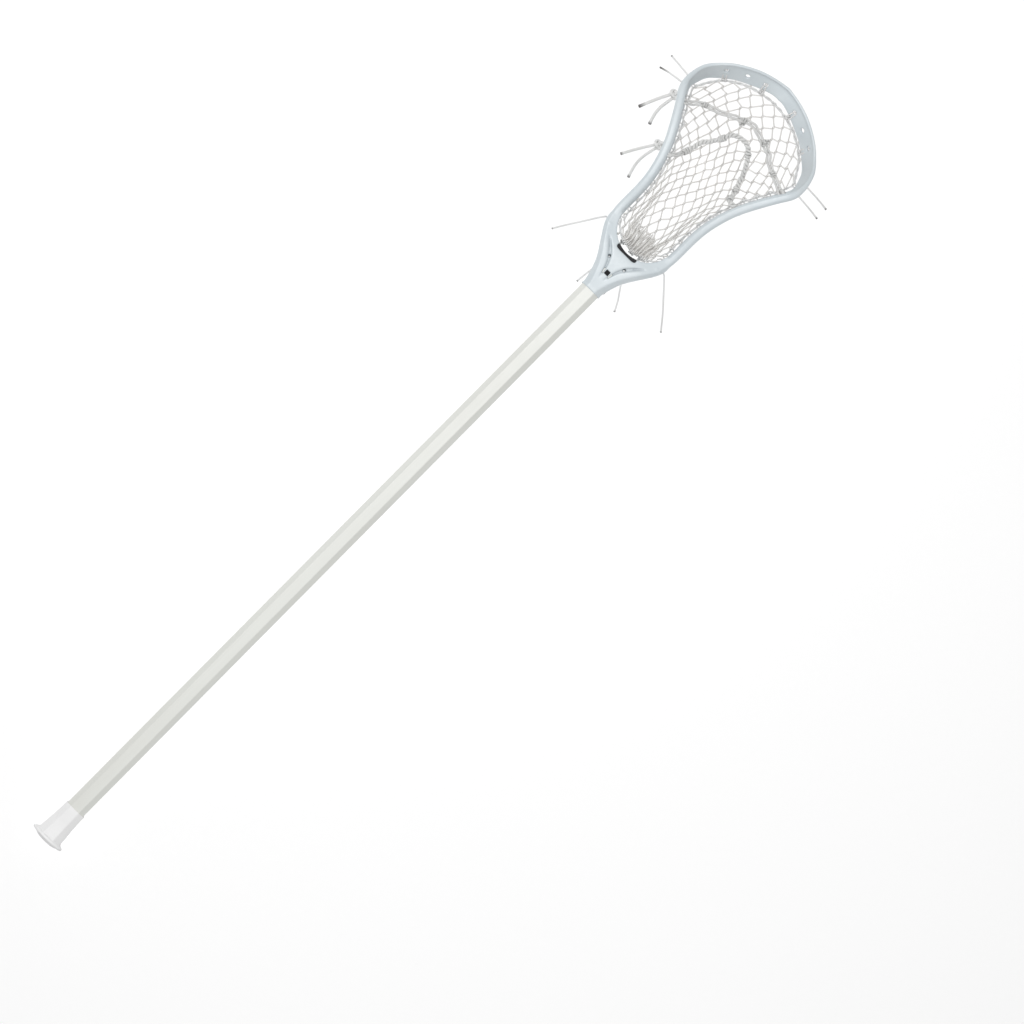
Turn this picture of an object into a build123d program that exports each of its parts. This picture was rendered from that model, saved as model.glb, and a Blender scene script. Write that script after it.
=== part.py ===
from build123d import *
from math import atan2, cos, degrees, hypot, pi, radians, sin, tan
import os

os.makedirs("parts", exist_ok=True)

# All lengths are millimetres.  The stick is modelled along its own shaft: Y runs from the butt
# to the scoop with 0 at the lower end of the head, X is across, +Z is the open face of the head.
# It is then laid on its back, so that it rests on the pocket and on the flange of the butt cap.

# Shaft
shaft_w = 22.0
shaft_d = 25.4
shaft_corner = 5.6
shaft_edge_r = 1.4
shaft_wall = 1.8
shaft_top = 35.0
shaft_bottom = -795.0

# Butt cap: an eight-sided sleeve (y, width, depth), then the turned outline of its flange (radius, y)
cap_rings = [
    (-758.3, 24.4, 27.8), (-768.3, 24.8, 28.1), (-780.3, 26.2, 29.2), (-793.0, 28.4, 31.2),
    (-798.0, 29.0, 31.6),
]
cap_corner = 0.27
cap_flare = [(12.7, -792.0), (15.1, -796.4), (19.0, -798.6)]
cap_lip = [(19.6, -799.3), (19.6, -800.6), (18.8, -801.4)]
cap_dome = [(10.8, -803.8), (0.0, -804.6)]
cap_lip_low = -800.2
cap_clearance = 0.1

# Head frame: outer plan line of the rim (x, y)
outer_plan = [
    (39.7, 62.3), (42.3, 77.0), (43.1, 103.9), (44.1, 124.7), (48.3, 145.4), (55.6, 166.2),
    (66.5, 187.0), (78.9, 207.8), (84.7, 218.1), (86.2, 226.5), (85.2, 236.0), (80.5, 249.3),
    (71.7, 259.7), (60.2, 270.1), (43.6, 280.5), (24.0, 288.7), (0.0, 293.5),
]
# Wall of the frame at each of those points: top height, foot height, rim width, rim height,
# inset of the foot's inner edge, foot width, foot height
outer_wall = [
    (10.0, -22.0, 9.5, 7.0, 10.5, 6.5, 8.5), (7.0, -24.2, 9.5, 7.0, 10.5, 6.5, 8.5),
    (2.5, -26.0, 9.5, 7.0, 10.5, 6.5, 8.5), (-1.7, -27.7, 9.5, 7.0, 10.5, 6.5, 8.5),
    (-3.8, -29.5, 9.5, 7.0, 10.5, 6.5, 8.5), (-5.5, -31.0, 9.5, 7.0, 10.5, 6.5, 8.5),
    (-5.6, -30.9, 9.5, 7.0, 10.8, 6.5, 8.5), (-3.0, -27.0, 9.0, 6.5, 11.0, 6.5, 8.0),
    (-0.5, -22.5, 8.5, 6.0, 11.0, 6.3, 7.5), (3.5, -18.5, 7.0, 5.2, 11.0, 6.0, 7.0),
    (12.0, -14.0, 5.5, 4.2, 12.0, 5.8, 6.2), (21.8, -8.5, 4.2, 3.4, 13.0, 5.4, 5.4),
    (27.0, -2.5, 3.6, 3.0, 14.0, 5.0, 5.0), (28.1, 2.5, 3.2, 2.8, 15.0, 5.0, 4.8),
    (27.7, 5.5, 3.2, 2.8, 16.0, 5.0, 4.6), (24.8, 8.0, 3.2, 2.8, 16.5, 5.0, 4.4),
    (21.5, 9.5, 3.2, 2.8, 16.5, 5.0, 4.4),
]
web_t = 3.2
bead_corner = 2.4

# Throat: (y, half width, top, bottom, corner)
throat_rings = [
    (0.0, 12.4, 14.4, -15.3, 6.2), (10.4, 13.1, 14.4, -16.2, 5.8), (20.8, 16.1, 14.4, -17.3, 5.2),
    (31.2, 20.6, 14.3, -18.3, 4.7), (41.6, 27.0, 14.2, -19.3, 4.4), (52.0, 33.8, 12.6, -20.5, 4.2),
    (62.3, 39.7, 10.0, -22.0, 3.8), (69.0, 41.7, 8.5, -23.0, 3.2), (81.0, 42.5, 6.1, -24.5, 2.4),
]
# Inner line of the throat between the rails (x, y)
throat_mouth = [(0.0, 54.0), (13.5, 56.7), (20.8, 61.0), (26.2, 66.6), (30.2, 73.4), (32.6, 81.2)]
panel = [(30.0, 4.2), (51.5, 4.0), (55.0, -2.5), (57.8, -10.2), (30.0, -7.6)]
panel_depth = 2.2
panel_corner = 1.6
# Creases between each rail and the middle plate (x, y, height of the round cutter), and a wider
# hollow about the lace hole
groove = [(2.7, 15.5, 15.9), (5.0, 26.0, 14.5), (10.8, 39.5, 13.9), (17.6, 47.6, 13.0), (26.5, 55.5, 12.9)]
groove_r = 1.4
valley = [(6.2, 30.0, 17.2), (12.2, 41.0, 15.1), (18.6, 48.4, 14.8), (25.0, 54.0, 15.2)]
valley_r = 2.6
lace_hole_r = 1.5
inlay_y, inlay_size, inlay_t = 25.2, 5.2, 1.0
stop_t, stop_half, stop_top, stop_bottom = 4.2, 13.0, 12.0, -10.0
stop_back_r = 1.9

# Side windows of the rails (y, z)
windows = [
    ([(61.5, 1.0), (119.0, -6.9), (124.5, -16.2), (69.0, -12.8)], 2.6),
    ([(131.0, -10.2), (179.0, -13.4), (186.5, -21.4), (138.0, -19.4)], 2.4),
    ([(191.5, -14.0), (210.0, -10.2), (226.0, -5.2), (216.0, -14.6), (196.5, -20.2)], 1.6),
]
# String holes: along the foot of each rail, and through the scoop (x, y)
rail_hole_r = 1.3
rail_hole_pitch = 12.5
rail_hole_span = (78.0, 228.0)
scoop_holes = [(-61.3, 262.8), (-41.0, 274.2), (-20.3, 279.4), (21.8, 280.5), (41.0, 274.2), (59.2, 264.9)]
scoop_hole_r, scoop_hole_z, scoop_hole_len = 2.6, 15.0, 14.0
scoop_hole_rise = 36.0
# Oval that the holes point square to (half width, half length, y of its middle)
scoop_oval = (86.0, 78.0, 215.0)

# Head screw
screw_y, screw_z = 10.4, -4.4
screw_r, screw_head_r, screw_head_t = 1.7, 3.2, 1.0
screw_len = 9.0
screw_gap = 0.35
screw_seat = 11.9
screw_edge = 0.4
screw_key_r, screw_key_depth = 1.3, 0.7

# How far a cutting shape reaches past what it cuts
over = 5.0

# Pocket: (y, half width at the rail, height at the rail, height in the middle)
pocket_rows = [
    (60.0, 17.0, -18.0, -21.0), (70.0, 25.0, -19.3, -22.6), (83.0, 30.8, -20.8, -26.5),
    (104.0, 31.6, -22.6, -29.8), (125.0, 32.9, -24.6, -33.8), (145.4, 36.6, -26.4, -42.4),
    (156.0, 39.9, -27.0, -49.8), (166.0, 43.3, -27.3, -56.7), (178.7, 49.0, -27.3, -59.3),
    (187.0, 53.2, -27.0, -57.9), (197.0, 58.8, -26.2, -51.2), (208.0, 65.0, -24.2, -38.9),
    (218.0, 71.2, -20.4, -30.5), (228.0, 74.0, -16.8, -23.8), (239.0, 70.8, -11.4, -16.6),
    (249.0, 63.0, -5.2, -9.6), (257.0, 54.0, -0.6, -3.4), (264.0, 41.0, 4.0, 1.8),
    (270.0, 24.0, 6.6, 5.4), (273.0, 13.0, 7.2, 6.6),
]
pocket_t = 2.6
pocket_power = 2.4

# Strings and laces
string_d = 2.0
top_string_d = 3.0
bottom_string_d = 3.0
lace_d = 3.6
knot_r = 4.0
top_string_plan = [
    (-68.5, 235.0), (-62.2, 246.2), (-53.5, 255.4), (-44.5, 261.2), (-23.5, 269.0), (-8.3, 271.8),
    (10.4, 271.8), (23.5, 269.0), (35.5, 265.2), (48.0, 258.6), (57.5, 251.4), (64.0, 243.2), (69.0, 235.0),
]
bottom_string_plan = [(-20.5, 68.0), (-13.0, 61.6), (0.0, 59.2), (13.0, 61.6), (20.5, 68.0)]
bottom_string_z = -14.5
# Shooting laces: plan points over the pocket, from the knotted side; then out through a window
lower_lace_plan = [
    (-33.5, 165.0), (-30.0, 182.0), (-23.0, 197.0), (-14.0, 212.0), (-4.0, 221.0), (6.0, 224.0),
    (15.0, 219.0), (24.0, 209.0), (31.0, 196.0), (37.0, 178.0),
]
upper_lace_plan = [
    (-64.5, 212.0), (-54.0, 221.5), (-37.0, 230.5), (-23.0, 234.5), (-9.0, 240.5), (6.0, 240.5),
    (18.0, 237.0), (29.0, 234.5), (41.0, 227.5), (53.0, 220.5), (65.0, 214.5),
]
lower_lace_exit = [(-38.0, 158.0, -17.0), (-57.0, 158.0, -17.4)]
lower_lace_far = [(41.5, 168.0, -17.4), (52.5, 168.0, -17.2)]
upper_lace_exit = [(-68.5, 209.0, -13.8), (-81.0, 207.5, -13.8)]
upper_lace_far = [(69.0, 211.0, -13.4), (76.5, 212.0, -13.0)]

# Cut tails: (node, diameter, route)
tails = [
    ("tail_throat_left", 2.0, [(-10.6, 41, -20.6), (-12.2, 32, -23.4), (-14, 22.6, -26), (-15.6, 13.6, -29),
                               (-16.7, 5.5, -32.2), (-17.2, -1, -35.4)]),
    ("tail_throat_right", 2.0, [(8.6, 48.4, -22.4), (11.4, 40.2, -25), (15.2, 32.4, -27.8), (20, 25, -30.8),
                                (25.2, 17.8, -33.9), (29.6, 10.8, -37), (33, 3.8, -40)]),
    ("tail_side_left", 1.9, [(-43.4, 67, -17.8), (-48.6, 59.8, -18.4), (-53.6, 51.6, -19.6),
                             (-60.4, 41.2, -22.2), (-68.2, 29.6, -26.4), (-74.4, 19.4, -32)]),
    ("tail_side_right", 1.9, [(43.4, 66.4, -17.8), (50.4, 59, -18.4), (57.8, 51, -19.6), (66, 42.2, -22.2),
                              (75, 31.8, -26.4), (82.6, 22.4, -32)]),
    ("tail_lower_lace_out", 3.0, [(-60.6, 154.2, -18.2), (-65, 147.6, -19.4), (-69.4, 140.6, -21.8),
                                  (-74, 132.8, -25.2), (-78.2, 125.4, -29.8)]),
    ("tail_lower_lace_in", 3.0, [(-56.6, 153, -20.2), (-58.8, 144.4, -21.2), (-60.2, 134.4, -23),
                                 (-59, 123.8, -26.4), (-55.6, 113.6, -31)]),
    ("tail_upper_lace_out", 3.4, [(-84.8, 204, -14.6), (-88.8, 197, -15.8), (-92.4, 189.2, -18.4),
                                  (-96.2, 181.2, -22.2), (-99.4, 173.8, -27.2)]),
    ("tail_upper_lace_in", 3.4, [(-80.4, 203, -16), (-82, 194.6, -17.2), (-83, 185.6, -19.4),
                                 (-81.8, 176.6, -23.4), (-79, 168.6, -28.6)]),
    ("tail_rim_left_low", 1.9, [(-85, 221.6, -8), (-92.6, 220.9, -8.6), (-99.8, 219.9, -10.6),
                                (-106.4, 218.7, -14), (-112.2, 217.4, -18.6)]),
    ("tail_rim_left_high", 1.9, [(-85.2, 231, -3), (-92.8, 231.7, -3.8), (-100, 232.5, -6),
                                 (-106.4, 233.3, -9.6), (-112, 234, -14.4)]),
    ("tail_rim_right_low", 1.9, [(85, 222.6, -7), (93, 222.2, -7.6), (100.8, 221.6, -9.6), (108, 221, -13),
                                 (114.6, 220.4, -17.6)]),
    ("tail_rim_right_high", 1.9, [(85.2, 235, -1.5), (93.2, 234.8, -2.2), (101, 234.4, -4.4),
                                  (108.2, 234, -8), (114.6, 233.5, -12.8)]),
]

# Rest pose: the lowest points of the cap flange and of the pocket stand at one height; the pocket
# rows reach a little lower, and are cut flat there
flange_low = (cap_lip_low, -cap_lip[0][0])
pocket_low = (178.7, -57.4)
tilt = atan2(flange_low[1] - pocket_low[1], pocket_low[0] - flange_low[0])
rest_lift = -flange_low[1] * cos(tilt) - flange_low[0] * sin(tilt)
mid_y = 255.8
place = Pos(0, mid_y, rest_lift) * Rot(degrees(tilt), 0, 0)


def save(node, solid):
    export_step(place * solid, "parts/" + node + ".step")
    print(node, round(solid.volume / 1000.0, 3), "cm3", "valid" if solid.is_valid else "INVALID")


def octagon(half_w, top, bottom, corner):
    return [
        (half_w, bottom + corner), (half_w, top - corner),
        (half_w - corner, top), (-half_w + corner, top),
        (-half_w, top - corner), (-half_w, bottom + corner),
        (-half_w + corner, bottom), (half_w - corner, bottom),
    ]


def ring_face(points, y):
    """Closed polygon of (x, z) points in the plane across the shaft at height y."""
    wire = Wire.make_polygon([(px, y, pz) for px, pz in points], close=True)
    return Face(wire)


def prism(points, y0, y1):
    return extrude(ring_face(points, y0), y1 - y0, dir=(0, 1, 0))


def shaft_prism(inset, y0, y1):
    half_w, half_d = 0.5 * shaft_w - inset, 0.5 * shaft_d - inset
    corner = shaft_corner - inset * (2 - 2 ** 0.5)
    bar = prism(octagon(half_w, half_d, -half_d, corner), y0, y1)
    return fillet(bar.edges().filter_by(Axis.Y), shaft_edge_r)


def rows_at(rows, y):
    """Straight-line values between the rows of a table whose first column is y."""
    if y <= rows[0][0]:
        return rows[0][1:]
    for low, high in zip(rows, rows[1:]):
        if y <= high[0]:
            f = (y - low[0]) / (high[0] - low[0])
            return tuple(a + f * (b - a) for a, b in zip(low[1:], high[1:]))
    return rows[-1][1:]


def pocket_z(x, y):
    half, edge, middle = rows_at(pocket_rows, y)
    return middle + (edge - middle) * min(1.0, abs(x) / half) ** pocket_power


def tube_route(route):
    """Straight runs joined by tangent arcs, and the radii of those arcs."""
    runs = [Vector(*b) - Vector(*a) for a, b in zip(route, route[1:])]
    radii = []
    for one, two in zip(runs, runs[1:]):
        half_turn = radians(one.get_angle(two)) / 2
        radii.append(0.45 * min(one.length, two.length) / tan(half_turn))
    return FilletPolyline(*route, radius=radii), radii


def tube(route, d):
    line, radii = tube_route(route)
    start = Vector(*route[1]) - Vector(*route[0])
    section = Plane(origin=route[0], z_dir=start) * Circle(d / 2)
    solid = sweep(section, path=line)
    ratio = solid.volume / (pi * d * d / 4 * line.length)
    return solid, line.length, min(radii), ratio


# ---- Head frame ---------------------------------------------------------------------------
def wall_section(index, side=1):
    """Beaded cross-section of the frame wall, square to the outer plan line."""
    x, y = outer_plan[index]
    top, foot, rim_w, rim_h, foot_in, foot_w, foot_h = outer_wall[index]
    c = min(bead_corner, 0.3 * rim_w)
    middle = -foot_in + 0.5 * foot_w
    points = [
        (0, top - c), (-c, top), (-rim_w + c, top), (-rim_w, top - c), (-rim_w, top - rim_h + c),
        (-0.5 * (rim_w + web_t), top - rim_h), (middle - 0.5 * web_t, foot + foot_h),
        (-foot_in, foot + foot_h - c), (-foot_in, foot + c), (-foot_in + c, foot),
        (-foot_in + foot_w - c, foot), (-foot_in + foot_w, foot + c), (-foot_in + foot_w, foot + foot_h - c),
        (middle + 0.5 * web_t, foot + foot_h), (-0.5 * (rim_w - web_t), top - rim_h), (0, top - rim_h + c),
    ]
    nx, ny = normals[index]
    return Face(Wire.make_polygon([(side * (x + u * nx), y + u * ny, z) for u, z in points], close=True))


rim_line = Spline(*outer_plan, tangents=[(0.3, 1), (-1, 0)])
normals = []
for x, y in outer_plan:
    along = rim_line.tangent_at(rim_line.param_at_point(Vector(x, y, 0)))
    normals.append((along.Y / hypot(along.X, along.Y), -along.X / hypot(along.X, along.Y)))
normals[-1] = (0.0, 1.0)

# One half is lofted a little past the middle, cut square there and mirrored
last = len(outer_plan) - 1
beyond = [wall_section(last - 1, -1), wall_section(last - 2, -1)]
half_rim = loft([wall_section(i) for i in range(last + 1)] + beyond)
throat = loft([ring_face(octagon(w, top, low, c), y) for y, w, top, low, c in throat_rings])

mouth_side = Spline(*throat_mouth, tangents=[(1, 0), (0.3, 1)])
mouth_x, mouth_y = throat_mouth[-1]
mouth_out = 10
mouth = make_face([
    mouth_side,
    Line((0, throat_mouth[0][1]), (0, mouth_y + mouth_out)),
    Line((mouth_x, mouth_y), (mouth_x, mouth_y + mouth_out)),
    Line((0, mouth_y + mouth_out), (mouth_x, mouth_y + mouth_out)),
])
right_half = Pos(100, 150, 0) * Box(200, 400, 200)
throat = (throat - extrude(Pos(0, 0, -40) * mouth, 80, dir=(0, 0, 1))) & right_half
half = throat + (half_rim & right_half)

for outline, corner_r in windows:
    cut = extrude(Face(Wire.make_polygon([(15, y, z) for y, z in outline], close=True)), 90, dir=(1, 0, 0))
    half -= fillet(cut.edges().filter_by(Axis.X), corner_r)

panel_cut = extrude(Face(Wire.make_polygon([(12, y, z) for y, z in panel], close=True)), 50, dir=(1, 0, 0))
panel_cut = fillet(panel_cut.edges().filter_by(Axis.X), panel_corner)
core = loft([
    ring_face(octagon(w - panel_depth, top, low, c), y) for y, w, top, low, c in throat_rings[2:]
])
half -= panel_cut - core

for route, r in ((groove, groove_r), (valley, valley_r)):
    line = Spline(*route)
    half -= sweep(Plane(origin=line @ 0, z_dir=line % 0) * Circle(r), path=line)
half -= Pos(groove[2][0], groove[2][1], 0) * Cylinder(lace_hole_r, 60)

count = int((rail_hole_span[1] - rail_hole_span[0]) / rail_hole_pitch) + 1
rail_holes = []
for i in range(count):
    y = rail_hole_span[0] + i * rail_hole_pitch
    x = rows_at([(b, a) for a, b in outer_plan], y)[0]
    foot, foot_h = rows_at([(p[1], w[1], w[6]) for p, w in zip(outer_plan, outer_wall)], y)
    rail_holes.append(Pos(x - 6, y, foot + 0.45 * foot_h) * (Rot(0, 90, 0) * Cylinder(rail_hole_r, 30)))
half -= rail_holes

head = half + mirror(half, about=Plane.YZ)
socket = shaft_prism(0, -over, shaft_top)
head -= socket
inlay_top = throat_rings[2][2]
head -= Pos(0, inlay_y, inlay_top - inlay_t + over / 2) * Box(inlay_size, inlay_size, over)

stop_line = Spline(*throat_mouth[:3], tangents=[(1, 0), (0.8, 1)])
stop_x, stop_y = throat_mouth[2]
stop_full = make_face([
    stop_line, mirror(stop_line, about=Plane.YZ), Line((stop_x, stop_y), (-stop_x, stop_y)),
])
stop_h = stop_top - stop_bottom
stop_band = Pos(0, mouth_y, 0) * Box(2 * stop_half, 60, 100)
stop_blank = extrude(Pos(0, -stop_t, stop_bottom) * stop_full, 2 * stop_h, dir=(0, 0, 1)) & stop_band
stop_corners = [edge for edge in stop_blank.edges().filter_by(Axis.Z) if abs(edge.center().X) > 1]
stop_blank = fillet(ShapeList(stop_corners).sort_by(Axis.Y)[:2], stop_back_r)
head -= stop_blank
ball_stop = stop_blank & Pos(0, mouth_y, stop_top - 50) * Box(60, 60, 100)
ball_stop -= extrude(Pos(0, 0, stop_bottom - over) * stop_full, stop_h + 2 * over, dir=(0, 0, 1))

scoop_rx, scoop_ry, scoop_y = scoop_oval
rise = radians(scoop_hole_rise)
for x, y in scoop_holes:
    nx, ny = x / scoop_rx ** 2, (y - scoop_y) / scoop_ry ** 2
    flat = -cos(rise) / hypot(nx, ny)
    drill = Plane(origin=(x, y, scoop_hole_z), z_dir=(flat * nx, flat * ny, sin(rise)))
    head -= drill * Cylinder(scoop_hole_r, scoop_hole_len)

screw_hole = Pos(0.5 * shaft_w, screw_y, screw_z) * (Rot(0, 90, 0) * Cylinder(screw_r + screw_gap, 16))
head -= screw_hole
screw_sink = Pos(screw_seat + 3, screw_y, screw_z) * (Rot(0, 90, 0) * Cylinder(screw_head_r + screw_gap, 6))
head -= screw_sink
print("head", head.is_valid, len(head.solids()), head.bounding_box())
save("head_frame", head)
save("ball_stop", ball_stop)
save("throat_inlay", Pos(0, inlay_y, inlay_top - 0.5 * inlay_t) * Box(inlay_size, inlay_size, inlay_t))

# ---- Shaft, screw and cap -----------------------------------------------------------------
shaft = shaft_prism(0, shaft_bottom, shaft_top) - shaft_prism(shaft_wall, shaft_bottom - 1, shaft_top + 1)
shaft -= screw_hole
save("shaft", shaft)

screw_under = screw_seat + 0.3
screw = Pos(screw_under - 0.5 * screw_len, screw_y, screw_z) * (Rot(0, 90, 0) * Cylinder(screw_r, screw_len))
screw_head = Pos(screw_under + 0.5 * screw_head_t, screw_y, screw_z) * (
    Rot(0, 90, 0) * Cylinder(screw_head_r, screw_head_t))
screw_head = chamfer(screw_head.edges().sort_by(Axis.X)[-1], screw_edge)
screw_key = Pos(screw_under + screw_head_t, screw_y, screw_z) * (
    Rot(0, 90, 0) * extrude(RegularPolygon(screw_key_r, 6), screw_key_depth, both=True))
save("head_screw", screw + screw_head - screw_key)

cap = loft([ring_face(octagon(w / 2, d / 2, -d / 2, cap_corner * w), y) for y, w, d in cap_rings])
cap_axis_top = (0, cap_flare[0][1])
with BuildSketch(Plane.XY) as flange_sketch:
    with BuildLine():
        Line(cap_axis_top, cap_flare[0])
        Spline(*cap_flare)
        Polyline(cap_flare[-1], *cap_lip)
        Spline(cap_lip[-1], *cap_dome, tangents=[(-1, -0.1), (-1, 0)])
        Line(cap_dome[-1], cap_axis_top)
    make_face()
cap += revolve(flange_sketch.sketch, axis=Axis.Y)
cap -= shaft_prism(-cap_clearance, shaft_bottom - cap_clearance, cap_rings[0][0] + over)
save("butt_cap", cap)

# ---- Pocket -------------------------------------------------------------------------------
def pocket_row(y, half, edge, middle):
    """Closed cross-section of the open bag: outer curve, edge, inner curve, edge."""
    steps = 8
    outer_side, inner_side = [], []
    for i in range(-steps, steps + 1):
        x = half * i / steps
        slope = (edge - middle) * pocket_power * (abs(x) / half) ** (pocket_power - 1) / half
        slope = slope if x >= 0 else -slope
        size = hypot(1, slope)
        z = middle + (edge - middle) * (abs(x) / half) ** pocket_power
        outer_side.append((x, y, z))
        inner_side.append((x - pocket_t * slope / size, y, z + pocket_t / size))
    wire = Wire([
        Spline(*outer_side).edge(), Line(outer_side[-1], inner_side[-1]).edge(),
        Spline(*reversed(inner_side)).edge(), Line(inner_side[0], outer_side[0]).edge(),
    ])
    return Face(wire)


# The bag lies flattened a little where it rests on the floor
floor = place.inverse() * (Pos(0, 0, -20) * Box(300, 2000, 40))
pocket = loft([pocket_row(*row) for row in pocket_rows]) - floor
print("pocket", pocket.is_valid, pocket.bounding_box())
save("pocket_mesh", pocket)


# ---- Strings, laces and tails -------------------------------------------------------------
def save_tube(node, route, d, extra=()):
    solid, length, least, ratio = tube(route, d)
    print(node, "length", round(length, 1), "least radius", round(least, 1), "volume ratio", round(ratio, 3))
    for part in extra:
        solid += part
    save(node, solid)


top_string_lift = 0.5 * pocket_t + 0.6
save_tube("top_string", [(x, y, pocket_z(x, y) + top_string_lift) for x, y in top_string_plan], top_string_d)
save_tube("bottom_string", [(x, y, bottom_string_z) for x, y in bottom_string_plan], bottom_string_d)
for side, name in ((-1, "left"), (1, "right")):
    route = [(side * (half - 1.9), y, edge + 2.2) for y, half, edge, middle in pocket_rows[2:14]]
    save_tube("sidewall_string_" + name, route, string_d)


def lace_route(plan, start, end):
    lift = pocket_t + 0.2 * lace_d
    return list(reversed(start)) + [(x, y, pocket_z(x, y) + lift) for x, y in plan] + list(end)


for name, plan, start, end in (
    ("lower", lower_lace_plan, lower_lace_exit, lower_lace_far),
    ("upper", upper_lace_plan, upper_lace_exit, upper_lace_far),
):
    save_tube("shooting_lace_" + name, lace_route(plan, start, end), lace_d,
              [Pos(*end[-1]) * Sphere(0.6 * lace_d)])
    knot = Pos(*start[-1]) * (Rot(90, 0, 0) * Torus(0.55 * knot_r, 0.45 * knot_r))
    save("knot_lace_" + name, knot + Pos(*start[-1]) * Sphere(0.75 * knot_r))

for node, d, route in tails:
    save_tube(node, [tuple(float(v) for v in point) for point in route], d)
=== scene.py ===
"""Looks of a lacrosse stick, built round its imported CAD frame.  Metres, in the row frame."""
import math

import bpy
import numpy as np
from mathutils import Matrix, Vector


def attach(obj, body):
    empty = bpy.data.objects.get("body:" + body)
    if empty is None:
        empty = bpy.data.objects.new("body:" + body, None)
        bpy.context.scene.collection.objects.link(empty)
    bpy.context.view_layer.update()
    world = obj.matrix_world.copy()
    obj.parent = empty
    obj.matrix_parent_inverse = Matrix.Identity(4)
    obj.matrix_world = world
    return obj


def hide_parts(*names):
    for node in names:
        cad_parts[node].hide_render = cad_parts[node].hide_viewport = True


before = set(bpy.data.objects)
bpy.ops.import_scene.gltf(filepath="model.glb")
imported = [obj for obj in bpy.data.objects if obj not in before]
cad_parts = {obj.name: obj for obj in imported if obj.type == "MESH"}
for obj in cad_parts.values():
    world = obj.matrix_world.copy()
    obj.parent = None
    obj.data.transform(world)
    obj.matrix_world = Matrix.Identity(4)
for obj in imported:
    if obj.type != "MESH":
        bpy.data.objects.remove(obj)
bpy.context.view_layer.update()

MM = 0.001

# ---- The stick's own frame ----------------------------------------------------------------
# Shapes are written in the stick's own millimetres: y along the shaft with 0 at the foot of the
# head, x across, z out of the open face.  The stick lies on the cap's flange and on the pocket.
FLANGE_LOW = (-800.2, -19.6)
POCKET_LOW = (178.7, -57.4)
MID_Y = 255.8
TILT = math.atan2(FLANGE_LOW[1] - POCKET_LOW[1], POCKET_LOW[0] - FLANGE_LOW[0])
LIFT = -FLANGE_LOW[1] * math.cos(TILT) - FLANGE_LOW[0] * math.sin(TILT)
PLACE = Matrix.Translation((0, MID_Y * MM, LIFT * MM)) @ Matrix.Rotation(TILT, 4, "X")


def at(point):
    """A point of the stick's own frame, in the row frame."""
    return PLACE @ (Vector(point) * MM)


# ---- Camera, light and floor --------------------------------------------------------------
VIEW_CENTRE = (104.4, -220.3, 0.0)
VIEW_WIDTH = 1063.7
VIEW_DISTANCE = 6000.0
AXIS_ANGLE = math.radians(45.24)
FLOOR_HALF = 12.0
PAPER_WHITE = (0.96, 0.96, 0.96)
SKY_STRENGTH = 0.46
LAMP_SIZE = 2.0
# Lamps: name, place, target, watts
LAMPS = [("key", (-0.8, 0.5, 2.8), (0, 0.1, 0), 56), ("fill", (1.6, -1.0, 2.4), (0, 0, 0), 10)]


def add_camera():
    """Looks square down on the open face, with the shaft running from lower left to upper right."""
    data = bpy.data.cameras.new("camera")
    data.sensor_width = 36
    data.lens = data.sensor_width * VIEW_DISTANCE / VIEW_WIDTH
    data.clip_end = 50
    camera = bpy.data.objects.new("camera", data)
    bpy.context.scene.collection.objects.link(camera)
    turn = Matrix.Rotation(AXIS_ANGLE - math.pi / 2, 3, "Z").inverted()
    basis = PLACE.to_3x3() @ turn
    x, y, z = VIEW_CENTRE
    camera.matrix_world = Matrix.Translation(at((x, y, z + VIEW_DISTANCE))) @ basis.to_4x4()
    bpy.context.scene.camera = camera


def add_light(name, place, target, watts):
    """Soft lamp of a white tent: it models the shapes and casts no shadow of its own."""
    data = bpy.data.lights.new(name, "AREA")
    data.shape = "DISK"
    data.size = LAMP_SIZE
    data.energy = watts
    data.use_shadow = False
    lamp = bpy.data.objects.new(name, data)
    lamp.location = place
    lamp.rotation_euler = (Vector(target) - Vector(place)).to_track_quat("-Z", "Y").to_euler()
    bpy.context.scene.collection.objects.link(lamp)


def add_stage():
    """White paper floor, even white surroundings and the lamps."""
    mesh = bpy.data.meshes.new("floor")
    corners = [(x * FLOOR_HALF, y * FLOOR_HALF, 0) for x, y in ((-1, -1), (1, -1), (1, 1), (-1, 1))]
    mesh.from_pydata(corners, [], [(0, 1, 2, 3)])
    floor = bpy.data.objects.new("floor", mesh)
    bpy.context.scene.collection.objects.link(floor)
    material, tree, shader = new_material("floor_paper", PAPER_WHITE, roughness=0.9)
    grain = add_noise(tree, scale=90.0, detail=3.0)
    add_bump(tree, shader, [(grain, 0.0002)])
    mesh.materials.append(material)
    world = bpy.data.worlds.new("studio")
    world.use_nodes = True
    sky = world.node_tree.nodes["Background"]
    sky.inputs["Color"].default_value = (1.0, 1.0, 1.0, 1)
    sky.inputs["Strength"].default_value = SKY_STRENGTH
    bpy.context.scene.world = world
    bpy.context.scene.view_settings.view_transform = "Standard"
    for lamp in LAMPS:
        add_light(*lamp)


# ---- Materials ----------------------------------------------------------------------------
# Sockets of a Mix node that mixes colours
MIX_FACTOR, MIX_FIRST, MIX_SECOND, MIX_RESULT = 0, 6, 7, 2
# Painted crease shade: reach in metres, and the openness at which the painted shade colour is full and at
# which it starts
MOULDED_REACH, MOULDED_DEEPEST = 0.004, 0.62
BRAIDED_REACH, BRAIDED_DEEPEST = 0.003, 0.3
CREASE_SHADE_STARTS = 0.95
MELTED_NYLON = (0.12, 0.115, 0.11)


def new_material(name, colour, roughness, **settings):
    """Principled material; the settings are its input names, with _ for a blank."""
    material = bpy.data.materials.new(name)
    material.use_nodes = True
    tree = material.node_tree
    shader = tree.nodes["Principled BSDF"]
    shader.inputs["Base Color"].default_value = (*colour, 1)
    shader.inputs["Roughness"].default_value = roughness
    for key, value in settings.items():
        shader.inputs[key.replace("_", " ")].default_value = value
    return material, tree, shader


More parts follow.
